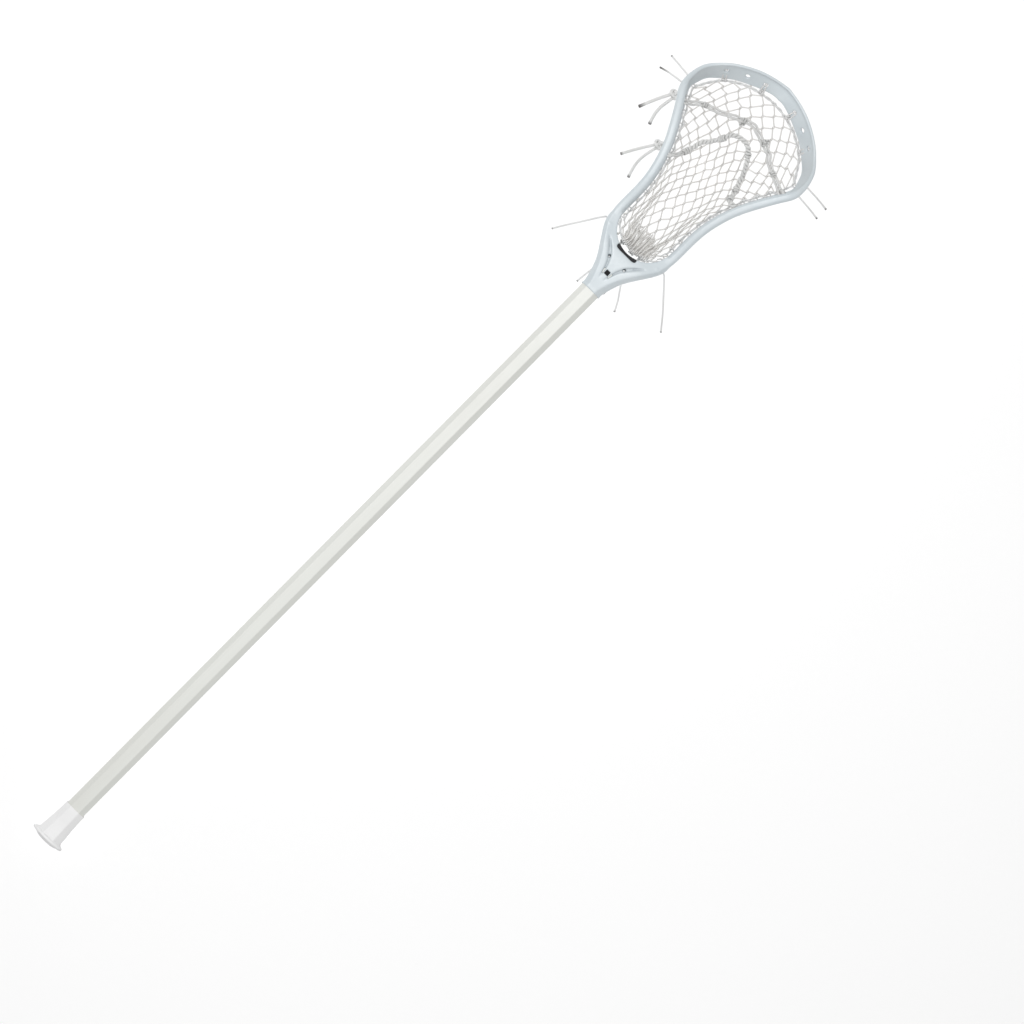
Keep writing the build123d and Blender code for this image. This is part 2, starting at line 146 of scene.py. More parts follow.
def add_node(tree, kind, **values):
    """Node of a kind, with some of its settings."""
    node = tree.nodes.new(kind)
    for key, value in values.items():
        setattr(node, key, value)
    return node


def object_place(tree, stretch):
    """Place in the row frame, in metres, stretched axis by axis."""
    coordinates = add_node(tree, "ShaderNodeTexCoord")
    mapping = add_node(tree, "ShaderNodeMapping")
    mapping.inputs["Scale"].default_value = stretch
    tree.links.new(coordinates.outputs["Object"], mapping.inputs["Vector"])
    return mapping.outputs["Vector"]


def add_noise(tree, scale, detail, distortion=0.0, stretch=(1, 1, 1)):
    """Cloudy noise from about 0.3 to 0.7, with scale waves to the metre."""
    noise = add_node(tree, "ShaderNodeTexNoise")
    noise.inputs["Scale"].default_value = scale
    noise.inputs["Detail"].default_value = detail
    noise.inputs["Distortion"].default_value = distortion
    tree.links.new(object_place(tree, stretch), noise.inputs["Vector"])
    return noise.outputs["Fac"]


def add_ramp(tree, source, low, high, start, end):
    """Straight-line map of a value from low..high to start..end, held outside."""
    ramp = add_node(tree, "ShaderNodeMapRange")
    for key, value in (("From Min", low), ("From Max", high), ("To Min", start), ("To Max", end)):
        ramp.inputs[key].default_value = value
    tree.links.new(source, ramp.inputs["Value"])
    return ramp.outputs["Result"]


def add_mix(tree, shader, factor, first, second):
    """Base colour that goes from the first colour to the second with the factor."""
    mix = add_node(tree, "ShaderNodeMix", data_type="RGBA")
    for socket, value in ((mix.inputs[MIX_FIRST], first), (mix.inputs[MIX_SECOND], second)):
        if isinstance(value, tuple):
            socket.default_value = (*value, 1)
        else:
            tree.links.new(value, socket)
    tree.links.new(factor, mix.inputs[MIX_FACTOR])
    tree.links.new(mix.outputs[MIX_RESULT], shader.inputs["Base Color"])
    return mix.outputs[MIX_RESULT]


def add_crease_shade(tree, shader, colour, painted_crease_shade, reach, deepest):
    """Paints shade into the creases: goes to the crease shade colour where the piece's own surfaces crowd
    together within reach metres, fully where the openness falls to deepest."""
    near = add_node(tree, "ShaderNodeAmbientOcclusion", only_local=True, samples=8)
    near.inputs["Distance"].default_value = reach
    depth = add_ramp(tree, near.outputs["AO"], low=deepest, high=CREASE_SHADE_STARTS, start=1.0, end=0.0)
    return add_mix(tree, shader, depth, colour, painted_crease_shade)


def add_math(tree, operation, first, second=0.0):
    """Result of one operation on numbers or node outputs."""
    node = add_node(tree, "ShaderNodeMath", operation=operation)
    for socket, value in zip(node.inputs, (first, second)):
        if isinstance(value, (int, float)):
            socket.default_value = value
        else:
            tree.links.new(value, socket)
    return node.outputs[0]


def add_bump(tree, shader, layers):
    """Stacks height layers, each a (height, depth in metres) pair."""
    normal = None
    for height, depth in layers:
        bump = add_node(tree, "ShaderNodeBump")
        bump.inputs["Distance"].default_value = depth
        bump.inputs["Strength"].default_value = 1.0
        tree.links.new(height, bump.inputs["Height"])
        if normal:
            tree.links.new(normal, bump.inputs["Normal"])
        normal = bump.outputs["Normal"]
    tree.links.new(normal, shader.inputs["Normal"])


def moulded(name, colour, shade, painted_crease_shade, roughness, grain_scale, grain_depth, **settings):
    """Moulded plastic or rubber: cloudy colour, painted shade in the creases, fine grain and dull scuffs."""
    material, tree, shader = new_material(name, colour, roughness, **settings)
    cloud = add_noise(tree, scale=28.0, detail=3.0, distortion=0.4)
    shaded = add_ramp(tree, cloud, low=0.35, high=0.7, start=0.0, end=1.0)
    skin = add_mix(tree, shader, shaded, colour, shade)
    # painted shade: the colour darkens where the piece's surfaces crowd into creases
    add_crease_shade(tree, shader, skin, painted_crease_shade, MOULDED_REACH, MOULDED_DEEPEST)
    grain = add_noise(tree, scale=grain_scale, detail=3.0)
    flow = add_noise(tree, scale=120.0, detail=2.0, distortion=1.5)
    flow_depth = 2.5 * grain_depth
    add_bump(tree, shader, [(grain, grain_depth), (flow, flow_depth)])
    scuff = add_noise(tree, scale=260.0, detail=6.0, distortion=3.0)
    worn = add_ramp(tree, scuff, low=0.45, high=0.75, start=roughness - 0.05, end=roughness + 0.14)
    tree.links.new(worn, shader.inputs["Roughness"])
    return material


def lacquered(name, colour, shade):
    """Satin lacquer over a wound tube: faint lengthwise streaks and a thin clear coat."""
    material, tree, shader = new_material(name, colour, roughness=0.4, Coat_Weight=0.35, Coat_Roughness=0.22)
    streak = add_noise(tree, scale=60.0, detail=4.0, distortion=0.2, stretch=(1.0, 0.04, 1.0))
    cloud = add_noise(tree, scale=9.0, detail=2.0)
    both = add_math(tree, "MULTIPLY", streak, add_math(tree, "ADD", cloud, 0.5))
    shaded = add_ramp(tree, both, low=0.3, high=0.75, start=0.0, end=1.0)
    add_mix(tree, shader, shaded, colour, shade)
    peel = add_noise(tree, scale=420.0, detail=2.0)
    peel_depth, streak_depth = 0.00003, 0.00004
    add_bump(tree, shader, [(peel, peel_depth), (streak, streak_depth)])
    scuff = add_noise(tree, scale=150.0, detail=6.0, distortion=2.0, stretch=(1, 0.2, 1))
    worn = add_ramp(tree, scuff, low=0.45, high=0.8, start=0.34, end=0.52)
    tree.links.new(worn, shader.inputs["Roughness"])
    return material


def braided(name, colour, shade, painted_crease_shade, strands, pitch):
    """Braid of so many strands that follows each cord, from its 'lay' attribute, with painted shade in its
    grooves.
    pitch is the length of one turn, in cord widths.  The 'burn' attribute darkens melted ends."""
    material, tree, shader = new_material(
        name, colour, roughness=0.72, Sheen_Weight=0.25, Sheen_Roughness=0.5)
    lay = add_node(tree, "ShaderNodeAttribute", attribute_name="lay")
    split = add_node(tree, "ShaderNodeSeparateXYZ")
    tree.links.new(lay.outputs["Vector"], split.inputs[0])
    angle = add_math(tree, "MULTIPLY", add_math(tree, "ARCTAN2", split.outputs[1], split.outputs[0]), strands)
    along = add_math(tree, "MULTIPLY", split.outputs[2], 2 * math.pi / pitch)
    one = add_math(tree, "SINE", add_math(tree, "ADD", angle, along))
    two = add_math(tree, "SINE", add_math(tree, "SUBTRACT", angle, along))
    weave = add_math(tree, "MAXIMUM", one, two)
    fuzz = add_noise(tree, scale=1800.0, detail=3.0)
    weave_depth, fuzz_depth = 0.00022, 0.0001
    add_bump(tree, shader, [(weave, weave_depth), (fuzz, fuzz_depth)])
    cloud = add_ramp(tree, add_noise(tree, scale=45.0, detail=2.0), low=0.3, high=0.7, start=0.0, end=0.5)
    # painted shade: the colour goes toward the shade colour where the weave runs low, in the braid's grooves
    painted_groove_shade = add_ramp(tree, weave, low=-0.2, high=0.9, start=0.55, end=0.0)
    cord_colour = add_mix(tree, shader, add_math(tree, "ADD", painted_groove_shade, cloud), colour, shade)
    # painted shade: the colour darkens where the cords crowd together
    cord_colour = add_crease_shade(tree, shader, cord_colour, painted_crease_shade, BRAIDED_REACH, BRAIDED_DEEPEST)
    burn = add_node(tree, "ShaderNodeAttribute", attribute_name="burn")
    add_mix(tree, shader, burn.outputs["Fac"], cord_colour, MELTED_NYLON)
    return material


def steel(name, colour):
    """Turned steel with fine rings round the screw's axis."""
    material, tree, shader = new_material(name, colour, roughness=0.35, Metallic=1.0)
    rings = add_noise(tree, scale=900.0, detail=2.0, stretch=(0.05, 1, 1))
    ring_depth = 0.00002
    add_bump(tree, shader, [(rings, ring_depth)])
    worn = add_ramp(tree, rings, low=0.3, high=0.7, start=0.25, end=0.45)
    tree.links.new(worn, shader.inputs["Roughness"])
    return material


# ---- Tubes --------------------------------------------------------------------------------
# A flared end spreads over so many radii, and this share of the burn's length is fully dark
FLARE_REACH = 2.5
SOLID_BURN = 0.2
# Direction out of the open face
RISE = np.array([0, 0, 1.0])


def smooth(points, steps):
    """Catmull-Rom curve through rows of numbers, with steps points to each run."""
    rows = np.asarray(points, float)
    rows = np.vstack([2 * rows[0] - rows[1], rows, 2 * rows[-1] - rows[-2]])
    t = np.arange(steps)[:, None] / steps
    out = []
    for a, b, c, d in zip(rows, rows[1:], rows[2:], rows[3:]):
        out.append(0.5 * (2 * b + (c - a) * t + (2 * a - 5 * b + 4 * c - d) * t ** 2
                          + (3 * b - a - 3 * c + d) * t ** 3))
    return np.vstack([*out, rows[-2]])


class Cords:
    """Gathers tubes into one mesh and keeps each point's place round and along its own tube."""

    def __init__(self):
        self.points, self.faces, self.lay, self.burn = [], [], [], []

    def add(self, path, radius, sides=8, wide=1.0, up=(0, 0, 1), closed=False, burn=0.0, flare=0.0):
        """Sweeps an ellipse, wide times broader across than it is deep along up, down the path.
        burn is the length of the dark melted end, and flare is how much that end spreads."""
        path = np.asarray(path, float)
        count = len(path)
        ahead = np.roll(path, -1, 0) - np.roll(path, 1, 0)
        if not closed:
            ahead[0], ahead[-1] = path[1] - path[0], path[-1] - path[-2]
        ahead /= np.linalg.norm(ahead, axis=1)[:, None] + 1e-12
        side = np.cross(ahead, np.asarray(up, float))
        side /= np.linalg.norm(side, axis=1)[:, None] + 1e-12
        over = np.cross(side, ahead)
        run = np.linalg.norm(np.diff(path, axis=0), axis=1)
        along = np.concatenate([[0], np.cumsum(run)])
        left = along[-1] - along
        swell = 1 + flare * np.clip(1 - left / (FLARE_REACH * radius), 0, 1)
        first = len(self.points)
        for i in range(count):
            for k in range(sides):
                angle = 2 * math.pi * k / sides
                offset = side[i] * math.cos(angle) * wide + over[i] * math.sin(angle)
                self.points.append(path[i] + offset * radius * swell[i])
                self.lay.append((math.cos(angle), math.sin(angle), along[i] / (2 * radius)))
                self.burn.append(min(1.0, max(0.0, 1 + SOLID_BURN - left[i] / burn)) if burn else 0.0)
        for i in range(count if closed else count - 1):
            j = (i + 1) % count
            for k in range(sides):
                m = (k + 1) % sides
                self.faces.append((first + i * sides + k, first + i * sides + m,
                                   first + j * sides + m, first + j * sides + k))
        if not closed:
            self.faces.append(tuple(first + k for k in reversed(range(sides))))
            self.faces.append(tuple(first + (count - 1) * sides + k for k in range(sides)))

    def build(self, name, material, placed=False):
        """One piece on the stick; placed says that the points are already in the row frame."""
        mesh = bpy.data.meshes.new(name)
        mesh.from_pydata([tuple(p) for p in self.points], [], self.faces)
        lay = mesh.attributes.new("lay", "FLOAT_VECTOR", "POINT")
        lay.data.foreach_set("vector", np.asarray(self.lay, np.float32).ravel())
        burn = mesh.attributes.new("burn", "FLOAT", "POINT")
        burn.data.foreach_set("value", np.asarray(self.burn, np.float32))
        if not placed:
            mesh.transform(PLACE @ Matrix.Scale(MM, 4))
        mesh.polygons.foreach_set("use_smooth", [len(f) == 4 for f in self.faces])
        mesh.materials.append(material)
        piece = bpy.data.objects.new(name, mesh)
        bpy.context.scene.collection.objects.link(piece)
        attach(piece, "stick")
        return piece


# ---- Free cords ---------------------------------------------------------------------------
TAIL_SIDES = 12
TAIL_FLARE = 0.12
# Cut ends of the strings and laces: name, diameter, length, length of the melted end, route
TAILS = [
    ("tail_throat_left", 2.0, 45.1, 1.4, [
        (-10.6, 41, -20.6), (-12.2, 32, -23.4), (-14, 22.6, -26), (-15.6, 13.6, -29), (-16.7, 5.5, -32.2),
        (-17.2, -1, -35.4)]),
    ("tail_throat_right", 2.0, 54.0, 1.4, [
        (8.6, 48.4, -22.4), (11.4, 40.2, -25), (15.2, 32.4, -27.8), (20, 25, -30.8), (25.2, 17.8, -33.9),
        (29.6, 10.8, -37), (33, 3.8, -40)]),
    ("tail_side_left", 1.9, 59.0, 1.2, [
        (-43.4, 67, -17.8), (-48.6, 59.8, -18.4), (-53.6, 51.6, -19.6), (-60.4, 41.2, -22.2),
        (-68.2, 29.6, -26.4), (-74.4, 19.4, -32)]),
    ("tail_side_right", 1.9, 61.1, 1.2, [
        (43.4, 66.4, -17.8), (50.4, 59, -18.4), (57.8, 51, -19.6), (66, 42.2, -22.2), (75, 31.8, -26.4),
        (82.6, 22.4, -32)]),
    ("tail_lower_lace_out", 3.0, 35.9, 3.0, [
        (-60.6, 154.2, -18.2), (-65, 147.6, -19.4), (-69.4, 140.6, -21.8), (-74, 132.8, -25.2),
        (-78.2, 125.4, -29.8)]),
    ("tail_lower_lace_in", 3.0, 42.0, 3.0, [
        (-56.6, 153, -20.2), (-58.8, 144.4, -21.2), (-60.2, 134.4, -23), (-59, 123.8, -26.4),
        (-55.6, 113.6, -31)]),
    ("tail_upper_lace_out", 3.4, 36.2, 8.0, [
        (-84.8, 204, -14.6), (-88.8, 197, -15.8), (-92.4, 189.2, -18.4), (-96.2, 181.2, -22.2),
        (-99.4, 173.8, -27.2)]),
    ("tail_upper_lace_in", 3.4, 37.7, 3.5, [
        (-80.4, 203, -16), (-82, 194.6, -17.2), (-83, 185.6, -19.4), (-81.8, 176.6, -23.4),
        (-79, 168.6, -28.6)]),
    ("tail_rim_left_low", 1.9, 30.2, 12.0, [
        (-85, 221.6, -8), (-92.6, 220.9, -8.6), (-99.8, 219.9, -10.6), (-106.4, 218.7, -14),
        (-112.2, 217.4, -18.6)]),
    ("tail_rim_left_high", 1.9, 30.0, 2.0, [
        (-85.2, 231, -3), (-92.8, 231.7, -3.8), (-100, 232.5, -6), (-106.4, 233.3, -9.6),
        (-112, 234, -14.4)]),
    ("tail_rim_right_low", 1.9, 32.1, 2.5, [
        (85, 222.6, -7), (93, 222.2, -7.6), (100.8, 221.6, -9.6), (108, 221, -13), (114.6, 220.4, -17.6)]),
    ("tail_rim_right_high", 1.9, 32.2, 2.5, [
        (85.2, 235, -1.5), (93.2, 234.8, -2.2), (101, 234.4, -4.4), (108.2, 234, -8), (114.6, 233.5, -12.8)]),
]


def nurbs_line(route):
    """Points along the smooth curve that has the route as its control points, in the row frame."""
    curve = bpy.data.curves.new("route", "CURVE")
    curve.dimensions = "3D"
    curve.resolution_u = 12
    spline = curve.splines.new("NURBS")
    spline.points.add(len(route) - 1)
    for control, point in zip(spline.points, route):
        control.co = (*at(point), 1)
    spline.order_u = 3
    spline.use_endpoint_u = True
    holder = bpy.data.objects.new("route", curve)
    mesh = bpy.data.meshes.new_from_object(holder)
    line = np.array([vertex.co[:] for vertex in mesh.vertices])
    bpy.data.objects.remove(holder)
    bpy.data.meshes.remove(mesh)
    return line


def make_tail(name, diameter, length, melted, route, material, slot):
    """Cut end that hangs free from its exit, with a melted tip."""
    line = nurbs_line(route)
    cord = Cords()
    cord.add(line, 0.5 * diameter * MM, sides=TAIL_SIDES, burn=melted * MM, flare=TAIL_FLARE)
    piece = cord.build("cord_" + name, material, placed=True)
    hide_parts(name)


# ---- Hard parts ---------------------------------------------------------------------------
def rounded_copy(node, name, material, body, voxel, passes):
    """The CAD node's own shape with its edges rounded over as moulded ones are: cut into voxels of
    that size, and smoothed so many times."""
    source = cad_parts[node]
    piece = bpy.data.objects.new(name, source.data.copy())
    bpy.context.scene.collection.objects.link(piece)
    remesh = piece.modifiers.new("remesh", "REMESH")
    remesh.mode = "VOXEL"
    remesh.voxel_size = voxel
    soften = piece.modifiers.new("soften", "SMOOTH")
    soften.factor = 0.5
    soften.iterations = passes
    graph = bpy.context.evaluated_depsgraph_get()
    mesh = bpy.data.meshes.new_from_object(piece.evaluated_get(graph))
    piece.modifiers.clear()
    piece.data = mesh
    mesh.name = name
    mesh.materials.clear()
    mesh.materials.append(material)
    mesh.polygons.foreach_set("use_smooth", [True] * len(mesh.polygons))
    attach(piece, body)
    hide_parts(node)


def dress(node, material):
    """Gives its material to a CAD node that shows as it is."""
    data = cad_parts[node].data
    data.materials.clear()
    data.materials.append(material)


# ---- Pocket surface -----------------------------------------------------------------------
# (y, half width at the rail, z at the rail, z in the middle), to the net's underside
POCKET_ROWS = [
    (60.0, 17.0, -18.0, -21.0), (70.0, 25.0, -19.3, -22.6), (83.0, 30.8, -20.8, -26.5),
    (104.0, 31.6, -22.6, -29.8), (125.0, 32.9, -24.6, -33.8), (145.4, 36.6, -26.4, -42.4),
    (156.0, 39.9, -27.0, -49.8), (166.0, 43.3, -27.3, -56.7), (178.7, 49.0, -27.3, -59.3),
    (187.0, 53.2, -27.0, -57.9), (197.0, 58.8, -26.2, -51.2), (208.0, 65.0, -24.2, -38.9),
    (218.0, 71.2, -20.4, -30.5), (228.0, 74.0, -16.8, -23.8), (239.0, 70.8, -11.4, -16.6),
    (249.0, 63.0, -5.2, -9.6), (257.0, 54.0, -0.6, -3.4), (264.0, 41.0, 4.0, 1.8),
    (270.0, 24.0, 6.6, 5.4), (273.0, 13.0, 7.2, 6.6),
]
POCKET_POWER = 2.4
STRAND_R = 0.75
# Distance of each strand from the line that it twists round, and of that line from the underside
STRAND_TWIST = 0.72
NET_LIFT = 1.5
pocket_dense = smooth(POCKET_ROWS, 8)


def pocket_row(y):
    """Half width of the pocket, its z at the rail and its z in the middle, at y."""
    return [float(np.interp(y, pocket_dense[:, 0], pocket_dense[:, i])) for i in (1, 2, 3)]


def net_z(x, y):
    """z of the net's strands: the bag's own curve, held up by the floor that it rests on."""
    half, edge, middle = pocket_row(y)
    floor = -(LIFT + y * math.sin(TILT)) / math.cos(TILT) + STRAND_R + STRAND_TWIST
    return max(floor, middle + (edge - middle) * min(1.0, abs(x) / half) ** POCKET_POWER + NET_LIFT)


def on_net(x, y, lift=0.0):
    """A point of the net, raised by lift square to its surface."""
    step = 0.5
    slope_x = (net_z(x + step, y) - net_z(x - step, y)) / (2 * step)
    slope_y = (net_z(x, y + step) - net_z(x, y - step)) / (2 * step)
    normal = np.array([-slope_x, -slope_y, 1.0])
    normal /= np.linalg.norm(normal)
    return np.array([x, y, net_z(x, y)]) + normal * lift


# ---- Net ----------------------------------------------------------------------------------
# The x of each line of bonds from the middle out to the rail, at a few y
NET_LINES = [
    (60.0, (1.7, 3.4, 5.1, 6.8, 8.5, 10.2, 11.9, 13.6, 15.2, 17.0)),
    (66.0, (2.2, 4.4, 6.6, 8.6, 10.5, 12.2, 13.8, 15.4, 18.0, 24.5)),
    (73.0, (3.0, 6.0, 8.8, 11.2, 13.2, 15.0, 16.6, 18.4, 22.4, 29.6)),
    (83.0, (5.2, 9.8, 13.4, 15.4, 17.0, 18.6, 20.2, 22.6, 26.2, 30.6)),
    (94.0, (5.4, 10.6, 14.8, 16.8, 18.6, 20.2, 22.0, 24.2, 27.4, 31.2)),
    (114.0, (5.4, 10.8, 15.4, 18.0, 20.0, 21.8, 23.6, 25.8, 28.6, 31.8)),
    (125.0, (5.4, 10.8, 15.4, 18.6, 21.0, 23.2, 25.4, 27.6, 30.2, 32.6)),
    (145.0, (5.2, 10.2, 14.8, 18.8, 22.2, 25.4, 28.4, 31.2, 33.8, 36.2)),
    (166.0, (4.6, 9.2, 13.8, 18.2, 22.6, 27.0, 31.2, 35.2, 39.2, 42.8)),
    (187.0, (4.5, 9.0, 13.6, 18.6, 24.0, 29.8, 35.8, 41.6, 47.2, 52.8)),
    (208.0, (4.9, 9.9, 15.2, 21.2, 27.8, 34.8, 42.2, 49.6, 57.0, 64.6)),
    (223.0, (7.0, 14.0, 21.0, 28.2, 35.4, 42.6, 49.8, 57.2, 64.6, 72.2)),
    (232.0, (8.8, 17.2, 25.0, 32.2, 39.2, 46.0, 52.8, 59.6, 66.2, 72.6)),
]
# Rows of bonds, by their y on the middle line, and how far a row at y falls back with x squared
NET_ROWS = [63.5, 73.0, 83.1, 93.5, 104.0, 114.6, 125.2, 135.6, 145.8, 155.8, 165.6, 175.2, 184.4, 193.4,
            202.4, 211.6, 221.0, 231.0]
ROW_FALL = [(140.0, 0.0), (160.0, 0.0022), (176.0, 0.0046), (190.0, 0.0062), (231.0, 0.0066)]
# Rows from there up to the top string, lines of bonds to each side of the middle one, and the power
# that spaces them along the top string
NET_TOP_ROWS = 5
NET_SIDE = 10
TOP_CROWDING = 0.94
# Bonds stray by so much across the net, and so many times as much up it, but less in the rows at the
# foot.  Half a bond's length is a share of the row's pitch, at least so long, and set in the first row.
STRAY, STRAY_UP = 0.5, 1.4
FOOT_ROWS, FOOT_STRAY = 2, 0.3
BOND_SHARE, BOND_LEAST, BOND_FIRST = 0.2, 0.5, 0.8
# Line of the top string, as (x, y) from the middle to the rail
TOP_LINE = [(0.0, 272.0), (8.3, 271.8), (23.5, 269.0), (35.5, 265.2), (48.0, 258.6), (57.5, 251.4),
            (64.0, 243.2), (69.0, 235.0), (72.6, 229.0)]


def top_y(x):
    """y of the top string at x."""
    return float(np.interp(abs(x), [p[0] for p in TOP_LINE], [p[1] for p in TOP_LINE]))


def net_knot(line, row):
    """Place (x, y) of a bond: lines count from the middle, rows upward, and the last rows bend to the
    top string."""
    side = -1 if line < 0 else 1
    last = len(NET_ROWS) - 1
    if row <= last:
        x, y = 0.0, NET_ROWS[row]
        if line:
            fall = np.interp(NET_ROWS[row], [h for h, _ in ROW_FALL], [f for _, f in ROW_FALL])
            line_ys, line_xs = [h for h, _ in NET_LINES], [xs[abs(line) - 1] for _, xs in NET_LINES]
            for _ in range(12):  # settles x and y, which follow each other
                y = 0.5 * (y + NET_ROWS[row] - float(fall) * x * x)
                x = float(np.interp(y, line_ys, line_xs))
        return side * x, y
    share = (row - last) / NET_TOP_ROWS
    low_x, low_y = net_knot(line, last)
    top_x = side * TOP_LINE[-1][0] * (abs(line) / NET_SIDE) ** TOP_CROWDING
    return low_x + share * (top_x - low_x), low_y + share * (top_y(top_x) - low_y)


def make_net(material):
    """Strands that run up the net side by side and twist half round each other at every bond."""
    net = Cords()
    rng = np.random.default_rng(7)
    rows = len(NET_ROWS) + NET_TOP_ROWS
    stray = rng.normal(0, STRAY, (2 * NET_SIDE + 1, rows, 2))
    for lane in range(-NET_SIDE, NET_SIDE):
        points = []
        for row in range(rows):
            line = lane if (lane + row) % 2 == 0 else lane + 1
            x, y = net_knot(line, row)
            loose = 1.0 if row > FOOT_ROWS else FOOT_STRAY
            x += loose * stray[line + NET_SIDE, row, 0]
            y += STRAY_UP * loose * stray[line + NET_SIDE, row, 1]
            before = net_knot(line, max(0, row - 1))[1]
            half_bond = max(BOND_LEAST, BOND_SHARE * (y - before)) if row else BOND_FIRST
            turn = math.pi if line == lane else 0.0
            for share in (-1.0, -0.5, 0.0, 0.5, 1.0):
                angle = turn + math.pi * (1 + share)
                out, rise = STRAND_TWIST * math.cos(angle), STRAND_TWIST * math.sin(angle)
                points.append(on_net(x - out, y + share * half_bond, rise))
        net.add(smooth(points, 2), STRAND_R, sides=7)
    return net.build("net", material)


# The gather at the net's foot: cords, their radius, and (middle, half width) at the upper and lower end
GATHER_COUNT = 17
GATHER_R = 0.74
GATHER_HIGH_X, GATHER_LOW_X = (1.5, 20.5), (2.2, 17.2)
GATHER_HIGH_Y, GATHER_LOW_Y = 86.0, 61.2


def make_gather(material):
    """The foot of the net, drawn together: crowded double cords that hook round the bottom string."""
    gather = Cords()
    rng = np.random.default_rng(21)
    for i in range(GATHER_COUNT):
        across = 2 * (i + 0.5) / GATHER_COUNT - 1
        high_x = GATHER_HIGH_X[0] + GATHER_HIGH_X[1] * across + rng.normal(0, 0.5)
        low_x = GATHER_LOW_X[0] + GATHER_LOW_X[1] * across + rng.normal(0, 0.3)
        low_y = GATHER_LOW_Y + 3.0 * math.sin(2.1 * across) ** 2 + rng.normal(0, 0.4)
        high_y = GATHER_HIGH_Y + rng.normal(0, 3.0) - 5.0 * abs(across)
        lift = 0.4 + 3.0 * (i % 2) + rng.normal(0, 0.3)
        bow = rng.normal(0, 0.6)
        for part in (-0.5, 0.5):
            points = [
                on_net(high_x + 2.6 * part, high_y - 2.0 * part, 0.2),
                on_net(0.96 * high_x + 1.6 * part + bow, high_y - 6, 0.6 * lift),
                on_net(0.5 * (high_x + low_x) + 0.9 * part + bow, 0.5 * (high_y + low_y) + 1, lift + 0.8),
                on_net(low_x + 0.7 * part, low_y + 4, lift + 1.4 + part),
                np.array([low_x + 0.6 * part, low_y + 0.6, HEM_Z + 2.3 + part]),
                np.array([low_x + 0.6 * part, low_y - 1.7, HEM_Z + 0.4]),
                np.array([low_x + 0.9 + 0.6 * part, low_y - 0.2, HEM_Z - 1.9]),
                on_net(low_x + 1.0 + 0.7 * part, low_y + 4, 0.2),
            ]
            gather.add(smooth(points, 4), GATHER_R + rng.normal(0, 0.04))
    gather.build("net_gather", material)


# ---- Strings and laces --------------------------------------------------------------------
# z of the bottom string, and the radii of the thin and the thick strings
HEM_Z = -15.6
THIN_R, THICK_R = 0.72, 0.9
# The row of holes in each rail's foot: y of the first, pitch and count
HOLES_FROM = 78.0
HOLE_PITCH = 12.5
HOLE_COUNT = 13
# Way of the sidewall string from the net's foot, under the rail, to its cut tail (right side)
UNDER_FOOT = [(27.0, 71.5, -20.0), (31.5, 70.4, -24.6), (36.0, 69.2, -25.6), (40.2, 68.0, -24.0)]
# The scoop's holes that the top string goes through
SCOOP_HOLES = [(-61.3, 262.8, 15.0), (-20.3, 279.4, 15.0), (21.8, 280.5, 15.0), (59.2, 264.9, 15.0)]
# The bottom string between the rails, its wraps as (place, turns), and its two ties as (side, place of
# the knot on the right side)
HEM_LINE = [(-30.0, 74.5, -18.0), (-23.5, 68.6, -17.0), (-16.0, 63.8, HEM_Z), (-9.0, 61.6, HEM_Z),
            (2.4, 60.0, HEM_Z), (10.0, 61.4, HEM_Z), (18.2, 64.2, HEM_Z), (25.0, 68.4, -17.0),
            (30.6, 73.5, -18.0)]
HEM_WRAPS = [((2.4, 60.0), 2.5), ((-11.5, 62.2), 3.0), ((16.0, 63.4), 3.0)]
HEM_TIES = [(-1, (10.8, 43.5, -22.4)), (1, (8.4, 50.0, -23.6))]
TIE_SPACING = 1.6
# Wraps: points to the turn, and a direction that no wrap runs along, to sweep them by
WRAP_STEPS = 14
WRAP_UP = (0.31, 0.52, 0.79)


def knot_line(centre, size, turn=0.0, tip=0.0):
    """Closed line of an overhand knot about its centre, turned in its plane and then tipped up."""
    t = np.linspace(0, 2 * math.pi, 60, endpoint=False)
    loop = np.stack([np.sin(t) + 2 * np.sin(2 * t), np.cos(t) - 2 * np.cos(2 * t), -1.15 * np.sin(3 * t)], 1)
    spin = Matrix.Rotation(turn, 3, "Z") @ Matrix.Rotation(tip, 3, "X")
    return loop * size / 3 @ np.array(spin).T + np.asarray(centre, float)


def ring_line(centre, outward, wide, high):
    """Closed upright oval that spans along the outward direction (x, y)."""
    out = np.array([*outward, 0.0]) / math.hypot(*outward)
    t = np.linspace(0, 2 * math.pi, 28, endpoint=False)[:, None]
    return np.asarray(centre, float) + out * wide * np.cos(t) + RISE * high * np.sin(t)


def line_frame(line):
    """Sideways and upward unit vectors along a line, and the length run so far."""
    ahead = np.gradient(line, axis=0)
    ahead /= np.linalg.norm(ahead, axis=1)[:, None]
    side = np.cross(ahead, RISE)
    side /= np.linalg.norm(side, axis=1)[:, None]
    run = np.concatenate([[0], np.cumsum(np.linalg.norm(np.diff(line, axis=0), axis=1))])
    return side, np.cross(side, ahead), run[:, None]


def add_pair(cords, line, gap, rise, pitch, twist, radius, wide):
    """Two strands on one line, gap to each side of it and rise over and under it: twisted round each
    other, or side by side with a slow sway."""
    side, over, run = line_frame(line)
    for start in (0.0, math.pi):
        phase = 2 * math.pi * run / pitch
        angle = start + (phase if twist else 0.5 * np.sin(phase))
        strand = line + side * gap * np.cos(angle) + over * rise * np.sin(angle)
        cords.add(strand, radius, sides=10, wide=wide)


def add_wrap(cords, line, near, turns, pitch, wrap_r, radius):
    """Helix of a few turns round a line, about its point nearest to the place (x, y)."""
    side, over, run = line_frame(line)
    middle = run[np.argmin(np.hypot(line[:, 0] - near[0], line[:, 1] - near[1])), 0]
    t = np.linspace(-0.5, 0.5, int(WRAP_STEPS * turns))
    at_run = np.clip(middle + t * turns * pitch, run[0, 0], run[-1, 0])
    angle = 2 * math.pi * turns * t[:, None]

    def along(values):
        return np.stack([np.interp(at_run, run[:, 0], values[:, i]) for i in range(3)], 1)

    points = along(line) + wrap_r * (along(side) * np.cos(angle) + along(over) * np.sin(angle))
    cords.add(points, radius, up=WRAP_UP)


